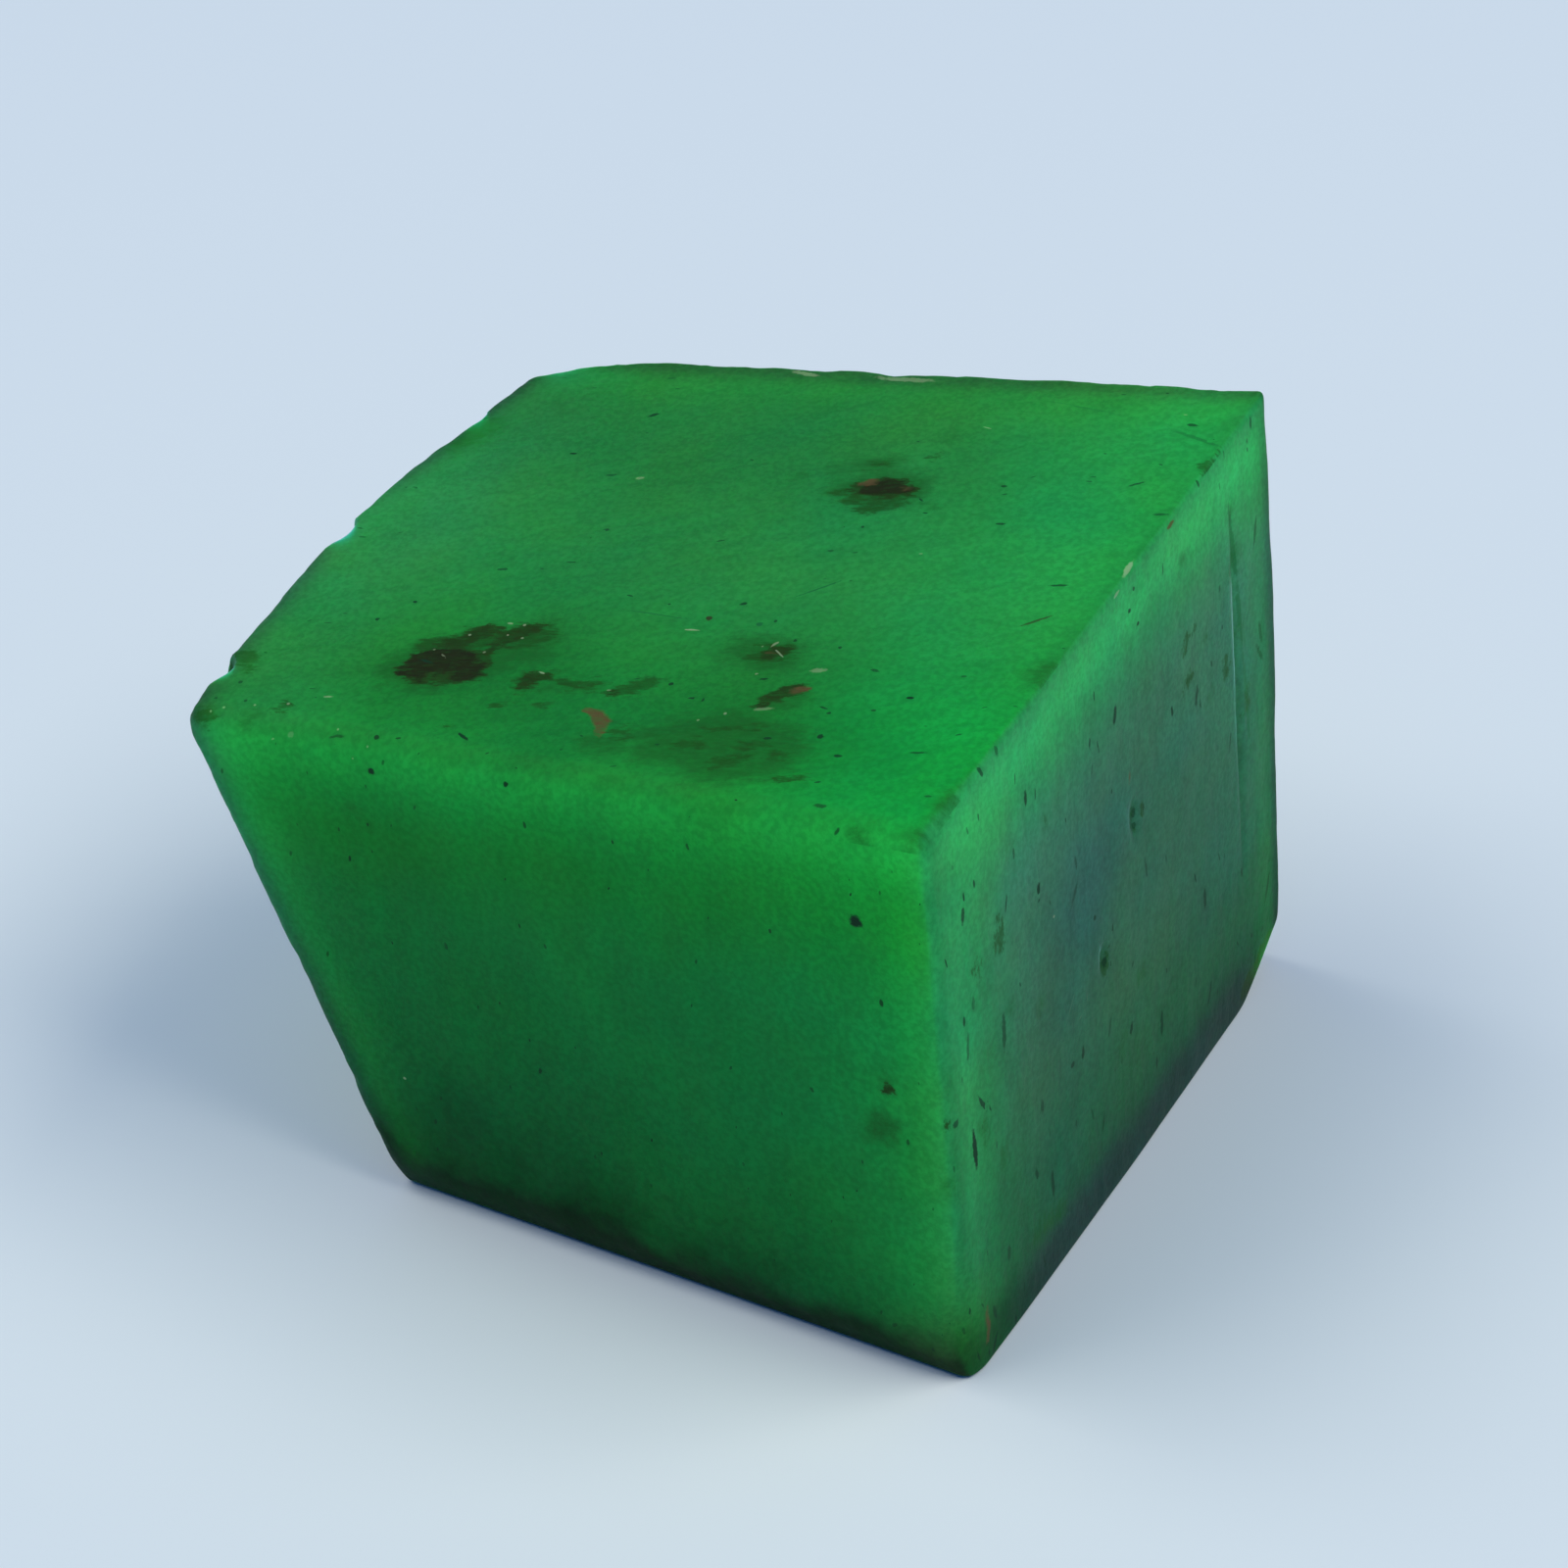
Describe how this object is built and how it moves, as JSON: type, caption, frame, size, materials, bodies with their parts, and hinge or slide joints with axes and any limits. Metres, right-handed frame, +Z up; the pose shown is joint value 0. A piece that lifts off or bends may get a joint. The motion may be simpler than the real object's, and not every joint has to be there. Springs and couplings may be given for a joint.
{
  "type": "raw emerald",
  "caption": "Raw emerald: a rough-sawn, tumbled block of milky green stone with worn edges, small chips and pits, resting on its flat base.",
  "frame": {"origin": "on the surface that the stone rests on, under the middle of its bounding box", "axes": "+Z up, +Y from the long upright side towards the back, +X towards the side opposite the overhang"},
  "size_m": [0.0236, 0.0206, 0.0192],
  "materials": {
    "emerald_stone": "satin, ground and tumbled, milky and a little translucent"
  },
  "bodies": {
    "root": {"emerald": "emerald_stone"}
  },
  "joints": []
}
